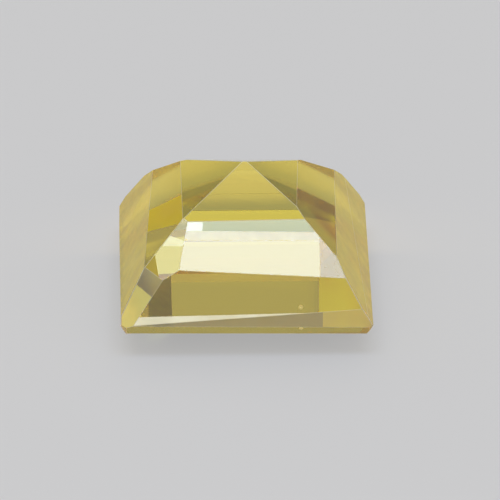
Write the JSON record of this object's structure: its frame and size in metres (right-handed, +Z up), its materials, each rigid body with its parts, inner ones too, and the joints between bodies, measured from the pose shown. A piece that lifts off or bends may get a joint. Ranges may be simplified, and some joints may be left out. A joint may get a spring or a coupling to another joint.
{
  "type": "yellow sapphire",
  "caption": "Small clear yellow gem in a square step cut, lying on its flat table with its stepped pavilion and low ridge of a culet upwards.",
  "frame": {"origin": "middle of the stone's footprint, on the plane of its table, which is the face it lies on", "axes": "+Z up towards the culet, +X to the right as the picture shows it, and the side nearest the camera faces -Y"},
  "size_m": [0.004, 0.0042, 0.0025],
  "materials": {
    "sapphire": "polished clear yellow crystal, softly worn along its facet edges, with a frosted strip above the front of its girdle"
  },
  "bodies": {
    "root": {"yellow_sapphire": "sapphire"}
  },
  "joints": []
}
